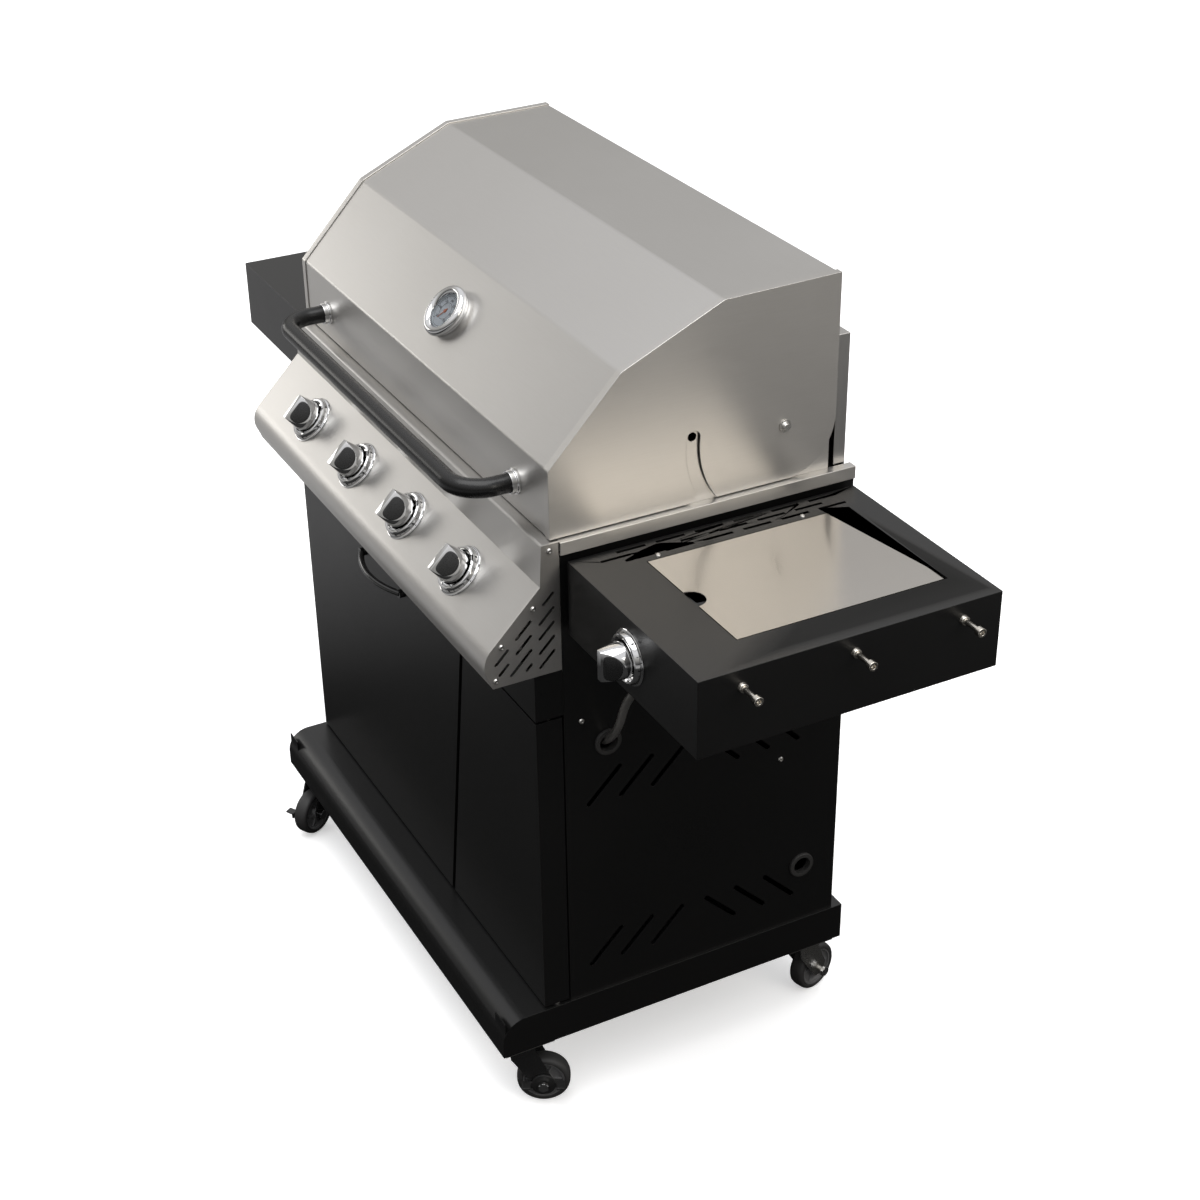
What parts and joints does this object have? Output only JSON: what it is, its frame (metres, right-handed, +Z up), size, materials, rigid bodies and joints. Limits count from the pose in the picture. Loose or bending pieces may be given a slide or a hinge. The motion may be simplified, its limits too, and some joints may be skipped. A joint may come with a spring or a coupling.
{
  "type": "gas barbecue grill",
  "caption": "Wheeled gas barbecue grill: folded steel cabinet with doors, side shelves, hinged hood, control knobs and a lidded side burner.",
  "frame": {"origin": "bottom centre of the whole grill, on the floor", "axes": "+X to the side-burner shelf, -Y out of the front with the knobs, +Z up"},
  "size_m": [1.484, 0.5904, 1.1457],
  "materials": {
    "stainless": "brushed, satin",
    "black_powder_coat": "satin powder coat",
    "black_enamel": "satin enamel",
    "cast_iron": "matt porcelain enamel",
    "chrome": "bright",
    "brass": "machined",
    "aluminium": "cast, dull",
    "zinc_steel": "zinc plated",
    "black_steel": "gloss black",
    "grey_plastic": "moulded, matt",
    "black_plastic": "moulded, satin",
    "black_rubber": "matt"
  },
  "bodies": {
    "cart": {"base_tray": "black_powder_coat", "left_side_panel": "black_powder_coat", "right_side_panel": "black_powder_coat", "hose_grommets": "black_rubber", "rear_panel": "black_powder_coat", "fascia_beam": "black_powder_coat", "firebox": "black_enamel", "side_rails": "stainless", "rear_heat_shield": "stainless", "hinge_plates": "stainless", "warming_rack": "chrome", "flame_tamers": "stainless", "tube_burners": "stainless", "control_panel": "stainless", "panel_end_plates": "stainless", "screws_and_bolts": "zinc_steel", "gas_manifold": "zinc_steel", "gas_valves": "brass", "knob_bezels": "chrome", "hinge_pins": "zinc_steel", "left_shelf": "black_powder_coat", "right_shelf": "black_powder_coat", "side_burner_bowl": "black_enamel", "side_burner_head": "aluminium", "side_burner_trivet": "cast_iron", "tool_pegs": "zinc_steel", "side_gas_hose": "zinc_steel", "caster_plates": "zinc_steel"},
    "hood": {"hood_shell": "stainless", "hood_side_plates": "stainless", "hood_handle": "black_steel", "handle_ferrules": "chrome", "thermometer": "chrome"},
    "left_door": {"left_door": "black_powder_coat", "door_handle": "black_steel"},
    "right_door": {"right_door": "black_powder_coat"},
    "side_lid": {"side_burner_lid": "stainless"},
    "cooking_grate": {"cooking_grate": "cast_iron"},
    "hotplate": {"hotplate": "cast_iron"},
    "grease_tray": {"grease_tray": "black_enamel"},
    "stem_1": {"valve_stem_1": "brass"},
    "knob_1": {"burner_knob_1": "chrome"},
    "stem_2": {"valve_stem_2": "brass"},
    "knob_2": {"burner_knob_2": "chrome"},
    "stem_3": {"valve_stem_3": "brass"},
    "knob_3": {"burner_knob_3": "chrome"},
    "stem_4": {"valve_stem_4": "brass"},
    "knob_4": {"burner_knob_4": "chrome"},
    "side_stem": {"side_valve_stem": "brass"},
    "side_knob": {"side_burner_knob": "chrome"},
    "fork_front_right": {"caster_fork_front_right": "black_steel"},
    "wheel_front_right": {"caster_wheel_front_right": "grey_plastic"},
    "brake_front_right": {"brake_pedal_front_right": "black_plastic"},
    "fork_front_left": {"caster_fork_front_left": "black_steel"},
    "wheel_front_left": {"caster_wheel_front_left": "grey_plastic"},
    "brake_front_left": {"brake_pedal_front_left": "black_plastic"},
    "fork_rear_right": {"caster_fork_rear_right": "zinc_steel"},
    "wheel_rear_right": {"caster_wheel_rear_right": "grey_plastic"},
    "fork_rear_left": {"caster_fork_rear_left": "zinc_steel"},
    "wheel_rear_left": {"caster_wheel_rear_left": "grey_plastic"}
  },
  "joints": [
    {"name": "hood_hinge", "type": "hinge", "parent": "cart", "child": "hood", "pos_m": [-0.018, 0.1549, 0.9578], "axis": [-1, 0, 0], "range_deg": [0, 90]},
    {"name": "left_door_hinge", "type": "hinge", "parent": "cart", "child": "left_door", "pos_m": [-0.414, -0.1816, 0.4], "axis": [0, 0, -1], "range_deg": [0, 100]},
    {"name": "right_door_hinge", "type": "hinge", "parent": "cart", "child": "right_door", "pos_m": [0.378, -0.1816, 0.4], "axis": [0, 0, 1], "range_deg": [0, 100]},
    {"name": "side_lid_hinge", "type": "hinge", "parent": "cart", "child": "side_lid", "pos_m": [0.54595, 0.2092, 0.8513], "axis": [-1, 0, 0], "range_deg": [0, 95]},
    {"name": "cooking_grate_lift", "type": "slide", "parent": "cart", "child": "cooking_grate", "axis": [0, 0, 1], "range_m": [0, 0.06]},
    {"name": "hotplate_lift", "type": "slide", "parent": "cart", "child": "hotplate", "axis": [0, 0, 1], "range_m": [0, 0.06]},
    {"name": "grease_tray_slide", "type": "slide", "parent": "cart", "child": "grease_tray", "axis": [0, 1, 0], "range_m": [0, 0.33]},
    {"name": "knob_1_push", "type": "slide", "parent": "cart", "child": "stem_1", "axis": [0, 0.7128, -0.7013], "range_m": [0, 0.004], "stiffness_N_per_m": 300, "springref_m": -0.004},
    {"name": "knob_1_turn", "type": "hinge", "parent": "stem_1", "child": "knob_1", "pos_m": [-0.273, -0.22997, 0.78661], "axis": [0, -0.7128, 0.7013], "range_deg": [0, 200]},
    {"name": "knob_2_push", "type": "slide", "parent": "cart", "child": "stem_2", "axis": [0, 0.7128, -0.7013], "range_m": [0, 0.004], "stiffness_N_per_m": 300, "springref_m": -0.004},
    {"name": "knob_2_turn", "type": "hinge", "parent": "stem_2", "child": "knob_2", "pos_m": [-0.103, -0.22997, 0.78661], "axis": [0, -0.7128, 0.7013], "range_deg": [0, 200]},
    {"name": "knob_3_push", "type": "slide", "parent": "cart", "child": "stem_3", "axis": [0, 0.7128, -0.7013], "range_m": [0, 0.004], "stiffness_N_per_m": 300, "springref_m": -0.004},
    {"name": "knob_3_turn", "type": "hinge", "parent": "stem_3", "child": "knob_3", "pos_m": [0.067, -0.22997, 0.78661], "axis": [0, -0.7128, 0.7013], "range_deg": [0, 200]},
    {"name": "knob_4_push", "type": "slide", "parent": "cart", "child": "stem_4", "axis": [0, 0.7128, -0.7013], "range_m": [0, 0.004], "stiffness_N_per_m": 300, "springref_m": -0.004},
    {"name": "knob_4_turn", "type": "hinge", "parent": "stem_4", "child": "knob_4", "pos_m": [0.237, -0.22997, 0.78661], "axis": [0, -0.7128, 0.7013], "range_deg": [0, 200]},
    {"name": "side_knob_push", "type": "slide", "parent": "cart", "child": "side_stem", "axis": [0, 1, 0], "range_m": [0, 0.004], "stiffness_N_per_m": 300, "springref_m": -0.004},
    {"name": "side_knob_turn", "type": "hinge", "parent": "side_stem", "child": "side_knob", "pos_m": [0.5507, -0.1576, 0.80505], "axis": [0, -1, 0], "range_deg": [0, 200]},
    {"name": "swivel_front_right", "type": "hinge", "parent": "cart", "child": "fork_front_right", "pos_m": [0.356, -0.2266, 0.1], "axis": [0, 0, 1], "continuous": true},
    {"name": "roll_front_right", "type": "hinge", "parent": "fork_front_right", "child": "wheel_front_right", "pos_m": [0.36985, -0.19999, 0.0375], "axis": [-0.887, 0.4617, 0], "continuous": true},
    {"name": "brake_front_right", "type": "hinge", "parent": "fork_front_right", "child": "brake_front_right", "pos_m": [0.36985, -0.19999, 0.0375], "axis": [-0.887, 0.4617, 0], "range_deg": [0, 15]},
    {"name": "swivel_front_left", "type": "hinge", "parent": "cart", "child": "fork_front_left", "pos_m": [-0.392, -0.2266, 0.1], "axis": [0, 0, 1], "continuous": true},
    {"name": "roll_front_left", "type": "hinge", "parent": "fork_front_left", "child": "wheel_front_left", "pos_m": [-0.377, -0.25258, 0.0375], "axis": [0.866, 0.5, 0], "continuous": true},
    {"name": "brake_front_left", "type": "hinge", "parent": "fork_front_left", "child": "brake_front_left", "pos_m": [-0.377, -0.25258, 0.0375], "axis": [0.866, 0.5, 0], "range_deg": [0, 15]},
    {"name": "swivel_rear_right", "type": "hinge", "parent": "cart", "child": "fork_rear_right", "pos_m": [0.356, 0.2274, 0.1], "axis": [0, 0, 1], "continuous": true},
    {"name": "roll_rear_right", "type": "hinge", "parent": "fork_rear_right", "child": "wheel_rear_right", "pos_m": [0.34723, 0.25609, 0.0375], "axis": [-0.9563, -0.2924, 0], "continuous": true},
    {"name": "swivel_rear_left", "type": "hinge", "parent": "cart", "child": "fork_rear_left", "pos_m": [-0.392, 0.2274, 0.1], "axis": [0, 0, 1], "continuous": true},
    {"name": "roll_rear_left", "type": "hinge", "parent": "fork_rear_left", "child": "wheel_rear_left", "pos_m": [-0.38679, 0.25694, 0.0375], "axis": [-0.9848, 0.1736, 0], "continuous": true}
  ]
}
